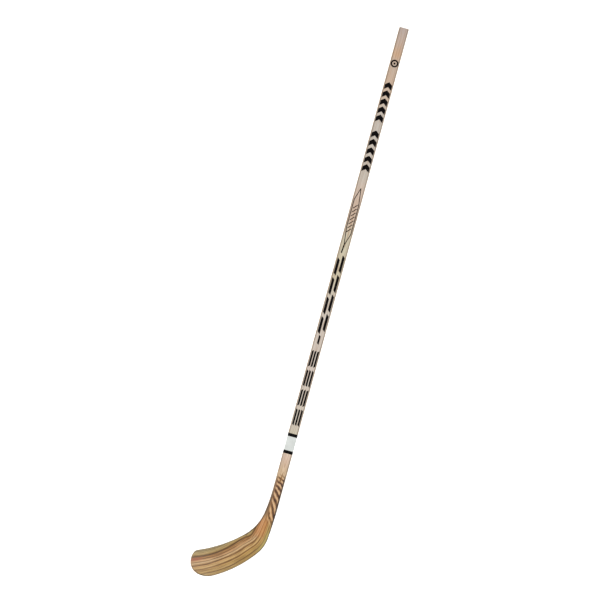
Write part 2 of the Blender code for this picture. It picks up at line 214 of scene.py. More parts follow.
def throat_line():
    """Plan points down the shaft's inner edge, round the throat and along the top edge."""
    edge = np.array([flat_place(s, top_edge_height(s))
                     for s in np.linspace(ROCKER_S, TOE_S, EDGE_POINTS)])
    turn = math.radians(THROAT_EASE_TURN)
    centre_x = (-SHAFT_WIDTH / 2 - THROAT_EASE_RADIUS * (1 - math.cos(turn))
                - THROAT_RADIUS * math.cos(turn))
    high = HOSEL_TOP + THROAT_RADIUS
    low = -HOSEL_TOP
    for _ in range(HALVINGS):
        centre_y = (high + low) / 2
        reach = np.hypot(edge[:, 0] - centre_x, edge[:, 1] - centre_y)
        if reach.min() > THROAT_RADIUS:
            high = centre_y
        else:
            low = centre_y
    touch = int(reach.argmin())
    ease_start = centre_y + (THROAT_EASE_RADIUS - THROAT_RADIUS) * math.sin(turn)
    line = [(-SHAFT_WIDTH / 2, SHAFT_LENGTH), (-SHAFT_WIDTH / 2, ease_start)]
    for part in np.linspace(1 / EASE_POINTS, 1, EASE_POINTS):
        line.append(along_arc(line[1], 0.0, THROAT_EASE_RADIUS, part * turn * THROAT_EASE_RADIUS)[0])
    last = line[-1]
    end_turn = math.atan2(edge[touch, 1] - centre_y, edge[touch, 0] - centre_x)
    swing = -end_turn - turn
    for part in np.linspace(1 / THROAT_POINTS, 1, THROAT_POINTS):
        line.append(along_arc(last, turn, THROAT_RADIUS, part * swing * THROAT_RADIUS)[0])
    line.extend(tuple(point) for point in edge[touch + 1:])
    return np.array(line)


def width_table():
    """Stick width, from the guide to the inner edge, at many places along the guide."""
    line = throat_line()
    starts = line[:-1]
    runs = line[1:] - starts
    table = []
    for s in np.linspace(0.0, TOE_S, WIDTH_POINTS):
        (x, y), heading = guide(s)
        inwards = np.array((-math.cos(heading), math.sin(heading)))
        offset = starts - (x, y)
        cross = inwards[0] * runs[:, 1] - inwards[1] * runs[:, 0]
        cross[np.abs(cross) < 1e-12] = 1e-12
        reach = (offset[:, 0] * runs[:, 1] - offset[:, 1] * runs[:, 0]) / cross
        part = (offset[:, 0] * inwards[1] - offset[:, 1] * inwards[0]) / cross
        hits = reach[(part >= -TINY) & (part <= 1 + TINY) & (reach > 0)]
        table.append((s, hits.min() if len(hits) else top_edge_height(s)))
    return np.array(table)


WIDTHS = width_table()


def outline(s):
    """Lowest and highest d of the stick at s, with the toe rounded by two quarter ellipses."""
    if s <= 0:
        return 0.0, SHAFT_WIDTH
    high = float(np.interp(s, WIDTHS[:, 0], WIDTHS[:, 1]))
    low = 0.0
    lower = (s - (TOE_S - TOE_LOWER_ROUND)) / TOE_LOWER_ROUND
    upper = (s - (TOE_S - TOE_UPPER_ROUND)) / TOE_UPPER_ROUND
    if lower > 0:
        low = TOE_TIP_HEIGHT * (1 - math.sqrt(max(0.0, 1 - lower ** 2)))
    if upper > 0:
        high = TOE_TIP_HEIGHT + (high - TOE_TIP_HEIGHT) * math.sqrt(max(0.0, 1 - upper ** 2))
    return low, high


# ---- thickness
def strip_half(s):
    """Half thickness of the bent strips: a wedge in the hosel, then a taper to the toe."""
    if s < HEEL_S:
        part = (s - TONGUE_S) / (HEEL_S - TONGUE_S)
        return (TONGUE_TIP + (BLADE_WOOD_HEEL - TONGUE_TIP) * part) / 2
    part = (s - HEEL_S) / (TOE_S - HEEL_S)
    return (BLADE_WOOD_HEEL + (BLADE_WOOD_TOE - BLADE_WOOD_HEEL) * part) / 2


def sanding(s):
    """0 on the full shaft and 1 below the hosel, easing in and out."""
    part = min(max(s / FOOT_S, 0.0), 1.0)
    return part * part * (3 - 2 * part)


def wood_half(s):
    """Half thickness of all the wood under the glass skins."""
    shaft = HALF_SHAFT - GLASS - GLUE_GAP
    if s <= 0:
        return shaft
    blend = sanding(s)
    return shaft * (1 - blend) + strip_half(s) * blend


def skin_half(s):
    """Half thickness to the outside of the glass skins."""
    glass = GLASS + (BLADE_GLASS - GLASS) * sanding(s)
    return wood_half(s) + GLUE_GAP + glass


def corner(s):
    """Radius of the long corners."""
    return SHAFT_CORNER + (BLADE_CORNER - SHAFT_CORNER) * sanding(s)


def rounding(reach, radius):
    """How far a rounded edge stands in at the distance reach from where it ends."""
    into = min(max(radius - reach, 0.0), radius)
    return radius - math.sqrt(radius ** 2 - into ** 2)


def side_inset(s, h):
    """How far the side stands in at height h because of the rounded corner."""
    return rounding(skin_half(s) - abs(h), corner(s))


# ---- mesh helpers
class Ring:
    """One cross-section: points round it, and each point's place in the grain."""

    def __init__(self, s):
        self.s = s
        self.limits = outline(s)
        self.points = []
        self.grain = []
        self.rim = []

    def add(self, d, h, across=None):
        self.points.append(place(self.s, d, h))
        self.grain.append((self.s, d if across is None else across))
        self.rim.append((d - self.limits[0], self.limits[1] - d))

    def turn(self, shift):
        """Starts the ring shift points later."""
        for row in (self.points, self.grain, self.rim):
            row[:] = row[shift:] + row[:shift]


def shares_round(rings, weights):
    """Where each point lies in a row of the baked map, from 0 to 1, hidden stretches pressed thin."""
    points = np.array([ring.points for ring in rings])
    steps = np.linalg.norm(np.roll(points, -1, axis=1) - points, axis=2).max(axis=0)
    steps = np.maximum(steps, 10 * TINY) * np.array(weights)
    total = np.concatenate(([0.0], np.cumsum(steps)))
    return total / total[-1]


def link_mesh(name, verts, faces, looks, maps=(), slots=None, sharp_from=None):
    """Object in the scene, smooth up to edges of sharp_from degrees, or flat without it."""
    mesh = bpy.data.meshes.new(name)
    mesh.from_pydata(verts, [], faces)
    for layer, values in maps:
        mesh.uv_layers.new(name=layer).uv.foreach_set("vector", np.array(values, np.float32).ravel())
    for look in looks:
        mesh.materials.append(look)
    if slots is not None:
        mesh.polygons.foreach_set("material_index", slots)
    mesh.update()
    made = bpy.data.objects.new(name, mesh)
    bpy.context.scene.collection.objects.link(made)
    if sharp_from is not None:
        mesh.polygons.foreach_set("use_smooth", [True] * len(faces))
        face_outwards(mesh)
        mesh.set_sharp_from_angle(angle=math.radians(sharp_from))
    return made


def solid(name, rings, weights, looks, rows):
    """Closed piece through the rings. Its maps hold the grain's place and the distances from the
    two edges, both in metres, and a place in the baked image.

    The rings' points run up one side and back down the other, so that the end caps are
    strips between opposite points. looks holds the materials of the sides and of the ends."""
    count = len(rings[0].points)
    verts = [tuple(point) for ring in rings for point in ring.points]
    share = shares_round(rings, weights)
    start = rings[0].s
    length = (rings[-1].s - start) / rows
    row_height = 1.0 / (rows + 1)
    fill = 1 - 2 * MAP_MARGIN
    faces = []
    grain = []
    rim = []
    baked = []
    slots = []
    for i, (near, far) in enumerate(zip(rings, rings[1:])):
        row = min(int((near.s + far.s - 2 * start) / (2 * length)), rows - 1)
        u_near, u_far = (MAP_MARGIN + fill * (ring.s - start - row * length) / length
                         for ring in (near, far))
        for j in range(count):
            k = (j + 1) % count
            faces.append((i * count + j, i * count + k, (i + 1) * count + k, (i + 1) * count + j))
            grain += [near.grain[j], near.grain[k], far.grain[k], far.grain[j]]
            rim += [near.rim[j], near.rim[k], far.rim[k], far.rim[j]]
            low, high = ((row + MAP_MARGIN + fill * share[n]) * row_height for n in (j, j + 1))
            baked += [(u_near, low), (u_near, high), (u_far, high), (u_far, low)]
            slots.append(0)
    for base, side, ring in ((0, 0.0, rings[0]), ((len(rings) - 1) * count, 0.5, rings[-1])):
        cap_faces(faces, grain, baked, slots, base, count, ring, side, rows * row_height, row_height)
    rim += [NO_RIM] * (len(grain) - len(rim))
    return link_mesh(name, verts, faces, looks, maps=(("grain", grain), ("rim", rim), ("OFBake", baked)),
                     slots=[min(slot, len(looks) - 1) for slot in slots], sharp_from=35.0)


def cap_faces(faces, grain, baked, slots, base, count, ring, side, low_v, height):
    """Quads between opposite points of an end ring, with their own corner of the baked map."""
    points = np.array(ring.points) - np.mean(ring.points, axis=0)
    plan = points[:, :2]
    span = plan[np.linalg.norm(plan - plan[0], axis=1).argmax()] - plan[0]
    spread = plan @ span / max(np.linalg.norm(span), TINY)
    level = points[:, 2]
    wide, tall = (max(np.ptp(reach), TINY) for reach in (spread, level))
    for k in range(count // 2 - 1):
        corners = (k, k + 1, count - 2 - k, count - 1 - k)
        order = corners if base == 0 else corners[::-1]
        faces.append(tuple(base + n for n in order))
        for n in order:
            grain.append((spread[n], level[n]))
            baked.append((side + 0.02 + 0.46 * (spread[n] - spread.min()) / wide,
                          low_v + height * (0.05 + 0.9 * (level[n] - level.min()) / tall)))
        slots.append(1)


def face_outwards(mesh):
    """Turns the faces outwards if the piece came out inside out."""
    if sum(face.center.dot(face.normal) * face.area for face in mesh.polygons) < 0:
        mesh.flip_normals()


def wear(made, slot, *nodes):
    """Fixes a piece to the stick's body, in place of the solids that it stands for."""
    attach(made, "root")
    if nodes:
        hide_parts(*nodes)


# ---- material helper
def rgb(red, green, blue):
    """Colour of a surface that shows as this display colour, of 0 to 255, in the studio's light."""
    return tuple((c / 255) ** 2.2 / LIGHT for c in (red, green, blue))


class Look:
    """A material, whose nodes are built up by short calls."""

    def __init__(self, name, coat=0.0, coat_roughness=0.2, specular=0.35):
        self.made = bpy.data.materials.new(name)
        self.made.use_nodes = True
        self.tree = self.made.node_tree
        self.shader = self.tree.nodes["Principled BSDF"]
        self.shader.inputs["Coat Weight"].default_value = coat
        self.shader.inputs["Specular IOR Level"].default_value = specular
        self.shader.inputs["Coat Roughness"].default_value = coat_roughness

    def node(self, kind, **settings):
        made = self.tree.nodes.new(kind)
        for key, value in settings.items():
            setattr(made, key, value)
        return made

    def feed(self, socket, value):
        if isinstance(value, bpy.types.NodeSocket):
            self.tree.links.new(value, socket)
        elif isinstance(value, tuple) and socket.type == "RGBA":
            socket.default_value = (*value, 1.0)
        else:
            socket.default_value = value

    def math(self, operation, a, b=0.0):
        made = self.node("ShaderNodeMath", operation=operation)
        for socket, value in zip(made.inputs, (a, b)):
            self.feed(socket, value)
        return made.outputs[0]

    def add(self, *values):
        return reduce(lambda a, b: self.math("ADD", a, b), values)

    def times(self, *values):
        return reduce(lambda a, b: self.math("MULTIPLY", a, b), values)

    def fit(self, value, low, high, to_low=0.0, to_high=1.0, ease="SMOOTHSTEP"):
        """value carried from low..high to to_low..to_high and held at the ends."""
        made = self.node("ShaderNodeMapRange", interpolation_type=ease, clamp=True)
        for socket, number in zip(made.inputs, (value, low, high, to_low, to_high)):
            self.feed(socket, number)
        return made.outputs[0]

    def hump(self, value, middle, half, soft):
        """1 where value is within half of middle, falling to 0 over the distance soft."""
        away = self.math("ABSOLUTE", self.math("SUBTRACT", value, middle))
        return self.fit(away, half, half + soft, 1.0, 0.0)

    def noise(self, x, y, z=0.0, detail=2.0):
        where = self.node("ShaderNodeCombineXYZ")
        for socket, value in zip(where.inputs, (x, y, z)):
            self.feed(socket, value)
        made = self.node("ShaderNodeTexNoise")
        self.feed(made.inputs["Vector"], where.outputs[0])
        made.inputs["Scale"].default_value = 1.0
        made.inputs["Detail"].default_value = detail
        return made.outputs[0]

    def streaks(self, grain, per_metre, across_per_metre, offset=0.0, detail=2.0):
        """Noise drawn out along the grain, from 0 to 1."""
        u, v = grain
        return self.noise(self.times(u, per_metre), self.times(v, across_per_metre),
                          offset, detail=detail)

    def sway(self, size, grain, per_metre, across_per_metre, offset, detail=2.0):
        """Streaks as a distance in metres, about size / 2 either way of 0."""
        noise = self.streaks(grain, per_metre, across_per_metre, offset, detail)
        return self.times(self.add(noise, -0.5), size)

    def blend(self, part, a, b, way="MIX"):
        made = self.node("ShaderNodeMix", data_type="RGBA", blend_type=way)
        self.feed(made.inputs[0], part)
        self.feed(made.inputs[6], a)
        self.feed(made.inputs[7], b)
        return made.outputs[2]

    def stain(self, colour, tint, *parts):
        """The colour with a tint, of 0 to 255, laid over it as strongly as the parts' product."""
        return self.blend(self.times(*parts), colour, rgb(*tint))

    def shade(self, colour, factor):
        """The colour made darker or lighter by a grey factor."""
        grey = self.node("ShaderNodeCombineColor")
        for socket in grey.inputs:
            self.feed(socket, factor)
        return self.blend(1.0, colour, grey.outputs[0], way="MULTIPLY")

    def ramp(self, part, stops):
        """Colour ramp through stops of a position and a display colour."""
        made = self.node("ShaderNodeValToRGB")
        self.feed(made.inputs[0], part)
        bar = made.color_ramp
        while len(bar.elements) < len(stops):
            bar.elements.new(0.5)
        for element, (position, _) in zip(bar.elements, stops):
            element.position = position
        for element, (_, colour) in zip(bar.elements, stops):
            element.color = (*rgb(*colour), 1.0)
        return made.outputs[0]

    def grain(self, layer="grain"):
        """Distances along and across the grain, or from the two edges for rim, in metres."""
        made = self.node("ShaderNodeUVMap", uv_map=layer)
        return self.parts(made.outputs[0])

    def parts(self, vector):
        """First two parts of a vector."""
        made = self.node("ShaderNodeSeparateXYZ")
        self.tree.links.new(vector, made.inputs[0])
        return made.outputs[0], made.outputs[1]

    def finish(self, colour, roughness, height=None, depth=0.0001, strength=0.5):
        """Wires up the shader; height is a bump from 0 to 1 that stands depth metres tall."""
        self.feed(self.shader.inputs["Base Color"], colour)
        self.feed(self.shader.inputs["Roughness"], roughness)
        if height is not None:
            bump = self.node("ShaderNodeBump")
            bump.inputs["Strength"].default_value = strength
            bump.inputs["Distance"].default_value = depth
            self.feed(bump.inputs["Height"], height)
            self.tree.links.new(bump.outputs[0], self.shader.inputs["Normal"])
        return self.made


# ---- wood
# Display colours by the share of the way from the butt to the hosel.
SHAFT_TINTS = (
    (0.000, (186, 164, 152)), (0.035, (200, 170, 148)), (0.060, (214, 166, 122)),
    (0.078, (196, 172, 150)), (0.115, (206, 172, 142)), (0.160, (212, 186, 160)),
    (0.200, (196, 184, 170)), (0.340, (202, 190, 174)), (0.375, (214, 186, 164)),
    (0.430, (216, 184, 156)), (0.480, (206, 196, 164)), (0.560, (206, 190, 154)),
    (0.620, (212, 200, 184)), (0.760, (214, 198, 184)), (0.900, (212, 200, 180)),
    (0.925, (206, 200, 166)), (0.965, (226, 194, 170)), (1.000, (214, 178, 132)))
HANDLED_GREY = (196, 194, 190)
LATE_WOOD = (160, 118, 80)
ASH_PORE = (140, 104, 76)
# Painted shade of the shaft's rounded long edges, laid over the face towards both edges.
EDGE_SHADE = (92, 80, 70)
EDGE_PORE = (120, 92, 66)
END_PORE = (78, 54, 36)
RING_SPACING = 0.0031       # between the year rings on the ash faces
RIM_INSET = 0.0008          # from a face's edge to where its painted edge shade is darkest
RIM_SOFT = 0.0042


def ash_colour(look, grain, side):
    """Flat-sawn ash under clear glass, with its tint drifting along the shaft."""
    u, v = grain
    drifting = look.times(look.streaks(grain, 9, 90, side), 0.05)
    along = look.fit(look.add(u, drifting, -0.025), BUTT_S, 0.0, ease="LINEAR")
    base = look.blend(0.22, look.ramp(along, SHAFT_TINTS), rgb(*HANDLED_GREY))
    middle = look.math("SUBTRACT", v, SHAFT_WIDTH * 0.46)
    depth = look.add(look.times(look.noise(look.times(u, 3.1), side, detail=1.0), 0.030), -0.010)
    reach = look.math("SQRT", look.add(look.times(middle, middle), look.times(depth, depth)))
    wander = look.times(look.streaks(grain, 16, 120, side + 4.0), 0.0028)
    rings = look.math("FRACT", look.math("DIVIDE", look.add(reach, wander), RING_SPACING))
    late = look.times(look.fit(rings, 0.45, 0.92), look.fit(rings, 0.93, 1.0, 1.0, 0.0))
    pores = look.fit(look.streaks(grain, 55, 1700, side + 9.0), 0.60, 0.78)
    drift = look.fit(look.streaks(grain, 7, 190, side + 2.0), 0.3, 0.72, 0.90, 1.08, "LINEAR")
    colour = look.stain(base, LATE_WOOD, late, 0.46)
    colour = look.stain(colour, ASH_PORE, pores, look.add(look.times(late, 0.34), 0.22))
    colour = look.shade(colour, look.times(drift, 0.98))
    return colour, look.add(look.times(late, 0.4), look.times(pores, 0.6))


def shaft_face_look(side):
    look = Look(f"shaft face {'front' if side else 'back'}", coat=0.12, coat_roughness=0.22)
    grain = look.grain()
    colour, height = ash_colour(look, grain, 3.0 + 11.0 * side)
    v = look.add(grain[1], look.sway(0.0012, grain, 30, 300, 21.0))
    # Painted shade: the face darkens towards both rounded long edges.
    far_side = SHAFT_WIDTH - RIM_INSET
    rim = look.math("MAXIMUM", look.fit(v, RIM_INSET, RIM_INSET + RIM_SOFT, 1.0, 0.0),
                    look.fit(v, far_side - RIM_SOFT, far_side))
    colour = look.stain(colour, EDGE_SHADE, rim, 0.90)
    roughness = look.fit(look.streaks(grain, 20, 260, 5.0), 0.2, 0.8, 0.30, 0.46)
    return look.finish(colour, roughness, height, depth=0.00006, strength=0.4)


def side_grain_look(name, pale, dark, offset):
    """Quarter-sawn edge of a ply or strip."""
    look = Look(name, coat=0.2, coat_roughness=0.3)
    grain = look.grain()
    lines = look.streaks(grain, 12, 2600, offset, detail=3.0)
    drift = look.streaks(grain, 5, 300, offset + 1.0)
    colour = look.blend(look.fit(lines, 0.35, 0.72), rgb(*pale), rgb(*dark))
    colour = look.shade(colour, look.fit(drift, 0.25, 0.75, 0.86, 1.06, "LINEAR"))
    pores = look.fit(look.streaks(grain, 90, 4200, offset + 2.0), 0.62, 0.75)
    colour = look.stain(colour, EDGE_PORE, pores, 0.35)
    return look.finish(colour, look.fit(lines, 0.2, 0.8, 0.38, 0.55), lines,
                       depth=0.00006, strength=0.35)


def end_grain_look(name, pale, dark, offset):
    """Sawn end of a ply: open pores and faint saw marks."""
    look = Look(name)
    grain = look.grain()
    pores = look.streaks(grain, 2600, 2600, offset)
    rings = look.streaks(grain, 160, 1500, offset + 2.0)
    saw = look.streaks(grain, 90, 3000, offset + 5.0)
    colour = look.blend(look.fit(rings, 0.35, 0.7), rgb(*pale), rgb(*dark))
    colour = look.stain(colour, END_PORE, look.fit(pores, 0.56, 0.7), 0.55)
    return look.finish(colour, look.fit(saw, 0.2, 0.8, 0.6, 0.8), look.add(pores, saw),
                       depth=0.00012, strength=0.5)


# ---- blade wood
# Display colours by the height above the sole, in millimetres: dark at the glue lines and the
# strongest grain lines, pale between them.
BLADE_TONES = (
    (0.0, (186, 166, 118)), (2.0, (166, 136, 80)), (6.0, (184, 148, 84)), (9.8, (162, 126, 68)),
    (11.4, (84, 62, 28)), (12.8, (178, 138, 74)), (16.6, (200, 162, 94)), (18.0, (140, 102, 50)),
    (19.4, (204, 162, 92)), (22.4, (176, 130, 68)), (23.8, (60, 38, 14)), (25.2, (176, 130, 68)),
    (29.0, (228, 190, 126)), (30.6, (168, 122, 66)), (32.0, (212, 166, 104)),
    (34.4, (170, 124, 66)), (35.8, (36, 22, 8)), (37.2, (178, 130, 76)), (41.0, (226, 190, 140)),
    (43.6, (120, 80, 38)), (45.2, (214, 168, 118)), (49.4, (196, 146, 94)), (51.4, (96, 60, 24)),
    (53.4, (182, 132, 78)), (57.6, (146, 100, 46)), (59.6, (62, 38, 12)), (62.0, (136, 100, 44)),
    (64.6, (184, 154, 96)), (70.0, (180, 156, 104)), (72.0, (130, 108, 66)), (76.0, (186, 168, 126)))
# Display colours by the share of the way down the hosel.
HOSEL_TINTS = (
    (0.00, (204, 168, 118)), (0.10, (188, 144, 98)), (0.20, (156, 112, 78)),
    (0.45, (152, 108, 70)), (0.70, (170, 122, 72)), (1.00, (190, 130, 72)))
VEIN_DARK = (106, 70, 28)
VEIN_PALE = (240, 204, 150)
BLADE_PORE = (92, 62, 30)
TOE_RED = (158, 88, 58)
HEEL_GREEN = (186, 176, 104)
THROAT_ORANGE = (206, 126, 66)
STREAK_DARK = (58, 32, 12)
STREAK_PALE = (222, 184, 140)
HOSEL_PORE = (84, 54, 28)
# Painted shade along the hosel's long edges: greyish towards the inner edge, dark towards the outer
# edge.
HOSEL_INNER_SHADE = (110, 88, 66)
HOSEL_OUTER_SHADE = (44, 28, 16)
TONGUE_BROWN = (124, 84, 36)
# Painted shade laid along the blade's edges, as display colours.
SOLE_EDGE_SHADE = ((52, 34, 20), (128, 104, 66), (74, 66, 44))       # hosel, sole, toe
TOP_EDGE_SHADE = ((118, 106, 74), (70, 56, 34))                      # top edge, throat


def blade_colour(look, grain, side):
    """Bent strips with dark glue lines, seen through the clear skin."""
    u, v = grain
    gather = look.fit(u, 0.110, 0.275, 1.60, 1.0)
    level = look.add(look.times(v, gather), look.sway(0.0042, grain, 13, 60, side + 1.0))
    highest = BLADE_TONES[-1][0]
    stops = [(height / highest, colour) for height, colour in BLADE_TONES]
    tone = look.shade(look.ramp(look.math("DIVIDE", level, highest / 1000), stops), 0.93)
    broad = look.streaks(grain, 16, 520, side + 2.0, detail=4.0)
    fine = look.streaks(grain, 40, 1900, side + 3.0)
    ripple = look.streaks(grain, 70, 260, side + 6.0)
    colour = look.stain(tone, VEIN_DARK, look.fit(broad, 0.50, 0.68, 0.0, 0.80))
    colour = look.stain(colour, VEIN_PALE, look.fit(broad, 0.46, 0.28, 0.0, 0.40))
    colour = look.shade(colour, look.fit(fine, 0.28, 0.72, 0.78, 1.14, "LINEAR"))
    colour = look.shade(colour, look.fit(ripple, 0.3, 0.7, 0.93, 1.06, "LINEAR"))
    pores = look.fit(look.streaks(grain, 45, 3600, side + 7.0), 0.60, 0.72)
    colour = look.stain(colour, BLADE_PORE, pores, 0.42)
    toe = look.fit(u, TOE_S - 0.050, TOE_S - 0.018)
    colour = look.stain(colour, TOE_RED, toe, look.hump(level, 0.0530, 0.002, 0.0045), 0.85)
    heel = look.hump(u, HEEL_S + 0.012, 0.018, 0.030)
    colour = look.stain(colour, HEEL_GREEN, heel, look.fit(v, 0.012, 0.004), 0.5)
    throat = look.times(look.hump(u, 0.168, 0.014, 0.030), look.hump(v, 0.026, 0.006, 0.012))
    colour = look.stain(colour, THROAT_ORANGE, throat, 0.4)
    return colour, look.add(look.times(broad, 0.5), look.times(fine, 0.5))


def hosel_colour(look, grain, side):
    """The sanded hosel: dark streaks that cross it on the slant and steepen towards the heel."""
    u, v = grain
    part = look.fit(u, 0.012, 0.135, ease="LINEAR")
    slant = look.add(part, 0.30)
    pitch = look.add(look.times(part, 0.0085), 0.0092)
    shift = look.times(look.streaks(grain, 45, 160, side), 0.0070)
    fray = look.sway(0.0050, grain, 150, 1500, side + 8.0, detail=3.0)
    phase = look.math("DIVIDE", look.add(u, look.times(v, slant), shift, fray), pitch)
    wave = look.math("ABSOLUTE", look.math("SINE", look.times(phase, math.pi)))
    broken = look.fit(look.streaks(grain, 60, 230, side + 3.0), 0.30, 0.55, 0.45, 1.0)
    lines = look.times(look.fit(wave, 0.34, 0.78, 1.0, 0.0), broken)
    inside = look.times(look.fit(v, 0.0245, 0.0185), look.fit(v, 0.0010, 0.0040))
    base = look.ramp(look.fit(u, 0.0, 0.16, ease="LINEAR"), HOSEL_TINTS)
    mottle = look.streaks(grain, 22, 500, side + 5.0)
    base = look.shade(base, look.fit(mottle, 0.3, 0.7, 0.82, 1.16, "LINEAR"))
    colour = look.stain(base, STREAK_PALE, look.fit(wave, 0.74, 0.96), inside, 0.85)
    colour = look.stain(colour, STREAK_DARK, lines, inside, 0.95)
    pores = look.fit(look.streaks(grain, 50, 2600, side + 9.0), 0.58, 0.72)
    colour = look.stain(colour, HOSEL_PORE, pores, 0.45)
    # Painted shade towards the hosel's inner and outer edges.
    colour = look.stain(colour, HOSEL_INNER_SHADE, look.fit(v, 0.0205, 0.0255), 0.80)
    return look.stain(colour, HOSEL_OUTER_SHADE, look.fit(v, 0.0064, 0.0024), 0.92)


def tongue_part(look, grain):
    """The pointed dark tip of the blade's tongue, showing through the face of the shaft."""
    u, v = grain
    spread = look.fit(u, -0.004, 0.034, 0.0, 0.0030, "LINEAR")
    lean = look.add(look.times(u, 0.06), 0.0118)
    away = look.math("ABSOLUTE", look.math("SUBTRACT", v, lean))
    inside = look.fit(look.math("SUBTRACT", spread, away), -0.0006, 0.0006)
    return look.times(inside, look.fit(u, -0.005, 0.004), look.fit(u, 0.036, 0.026))


def painted_edge_shade(look, grain, colour):
    """Painted shade along the stick's edges: dark down the back and round the throat, lighter along the
    sole and the top edge.
    """
    u, _ = grain
    rough = look.sway(0.0016, grain, 70, 260, 17.0)
    low, high = (look.add(distance, rough) for distance in look.grain("rim"))
    hosel_tint, sole_tint, toe_tint = SOLE_EDGE_SHADE
    tint = look.blend(look.fit(u, ROCKER_S - 0.02, ROCKER_S + 0.02), rgb(*hosel_tint),
                      rgb(*sole_tint))
    tint = look.stain(tint, toe_tint, look.fit(u, TOE_S - 0.052, TOE_S - 0.036))
    colour = look.blend(look.times(look.fit(low, 0.0036, 0.0010), 0.85), colour, tint)
    top_tint, throat_tint = TOP_EDGE_SHADE
    throat = look.hump(u, 0.150, 0.070, 0.040)
    reach = look.add(look.times(throat, 0.0022), 0.0026)
    near = look.fit(look.math("DIVIDE", high, reach), 1.0, 0.45)
    tint = look.blend(throat, rgb(*top_tint), rgb(*throat_tint))
    return look.blend(look.times(near, 0.8), colour, tint)


def blade_face_look(side):
    look = Look(f"blade face {'front' if side else 'back'}", coat=0.18, coat_roughness=0.16)
    grain = look.grain()
    u, v = grain
    ash, ash_height = ash_colour(look, grain, 3.0 + 11.0 * side)
    hosel = hosel_colour(look, grain, 31.0 + 7.0 * side)
    blade, blade_height = blade_colour(look, grain, 51.0 + 7.0 * side)
    ragged = look.sway(0.016, grain, 60, 260, 13.0)
    colour = look.blend(look.fit(look.add(u, ragged), 0.004, 0.022), ash, hosel)
    colour = look.stain(colour, TONGUE_BROWN, tongue_part(look, grain), 0.88)
    slope = look.add(u, look.times(v, 0.9), ragged)
    colour = look.blend(look.fit(slope, 0.138, 0.176), colour, blade)
    colour = painted_edge_shade(look, grain, colour)
    roughness = look.fit(look.streaks(grain, 30, 300, 6.0), 0.2, 0.8, 0.26, 0.42)
    height = look.add(look.times(ash_height, 0.3), blade_height)
    return look.finish(colour, roughness, height, depth=0.00008, strength=0.4)


# ---- film and ink
def film_look(name, colour, scuff, roughness):
    """Thin film: the grain below shows as a faint texture, and handling leaves small scuffs."""
    look = Look(name, specular=0.08)
    grain = look.grain()
    lines = look.streaks(grain, 60, 500, 1.0)
    marks = look.fit(look.streaks(grain, 240, 900, 2.0, detail=4.0), 0.66, 0.78)
    blotch = look.streaks(grain, 60, 60, 3.0)
    mixed = look.stain(rgb(*colour), scuff, marks, 0.45)
    mixed = look.shade(mixed, look.fit(blotch, 0.3, 0.7, 0.93, 1.04, "LINEAR"))
    rough = look.add(look.fit(blotch, 0.3, 0.7, roughness, roughness + 0.1), look.times(marks, 0.15))
    return look.finish(mixed, rough, lines, depth=0.00005, strength=0.35)


def ink_look(name, fleck, amount):
    """Screen-printed black ink, with specks where the grain kept it from taking."""
    look = Look(name, specular=0.06)
    where = look.node("ShaderNodeTexCoord")
    specks = look.streaks(look.parts(where.outputs["Object"]), 2100, 420, detail=3.0)
    colour = look.stain(rgb(*INK_BLACK), fleck, look.fit(specks, 0.66, 0.74), amount)
    return look.finish(colour, look.fit(specks, 0.3, 0.7, 0.30, 0.42), specks,
                       depth=0.00003, strength=0.3)


# ---- shaft
def ply_bands():
    """Name, lowest h and highest h of every ply of the full shaft, from back to front."""
    bands = []
    h = -HALF_SHAFT
    stack = [("shaft_glass_back", GLASS), ("shaft_ash_back", ASH_PLY)]
    stack += [(f"shaft_core_ply_{i + 1}", CORE_PLY) for i in range(CORE_PLIES)]
    stack += [("shaft_ash_front", ASH_PLY), ("shaft_glass_front", GLASS)]
    for name, thickness in stack:
        low = h if h == -HALF_SHAFT else h - CLOSING
        h += thickness
        high = h if name == "shaft_glass_front" else h + CLOSING
        bands.append((name, low, high))
        h += GLUE_GAP
    return bands


def ply_limits(s, inner, outer):
    """The ply's inner and outer distance from the middle at s, cut by the slot and the sanding."""
    near = inner
    if s > TONGUE_S - GLUE_GAP:
        near = max(inner, strip_half(s) + GLUE_GAP - CLOSING)
    return near, min(outer, wood_half(s) + CLOSING)


def ply_end(inner, outer):
    """Distance along the guide at which a ply has been cut down to a feather edge."""
    for s in np.arange(0.0, FOOT_S, CUT_STEP):
        near, far = ply_limits(s, inner, outer)
        if far - near < FEATHER:
            return float(s)
    return FOOT_S


def shaft_stations(end):
    """Cross-sections from the butt's rounded edge to the end, with one at each fold of the map."""
    marks = [BUTT_S + BUTT_ROUND * part for part in (0.0, 0.04, 0.15, 0.4, 1.0)]
    full = (end - BUTT_S) / SHAFT_ROWS
    for row in range(SHAFT_ROWS):
        first = BUTT_S + row * full
        marks += list(np.linspace(first, first + full, ROW_STATIONS + 1)[1:])
    return marks


def ply_ring(s, low, high, levels, across_faces):
    """Cross-section of a ply: up its outer side and down its inner side."""
    butt = rounding(s - BUTT_S, BUTT_ROUND)
    reach = skin_half(s) - butt
    heights = np.clip(low + (high - low) * levels, -reach, reach)
    ring = Ring(s)
    insets = [side_inset(s, min(abs(h) + butt, skin_half(s))) + butt for h in heights]
    for h, inset in zip(heights, insets):
        ring.add(inset, h, None if across_faces else h)
    for h, inset in zip(heights[::-1], insets[::-1]):
        ring.add(SHAFT_WIDTH - inset, h, None if across_faces else h + 0.1)
    return ring


def ply_stations(end):
    """Cross-sections of a ply: closer together below the hosel's top, with two at the slot."""
    marks = shaft_stations(end)
    if end <= 0.0:
        return marks
    slot = TONGUE_S - GLUE_GAP
    marks = marks[:-1] + list(np.arange(0.0, end, FINE_STEP))
    if slot < end:
        marks += [slot, slot + GLUE_GAP / 2]
    return [s for s in sorted(set(round(s, 6) for s in marks)) if s < end - GLUE_GAP / 2] + [end]


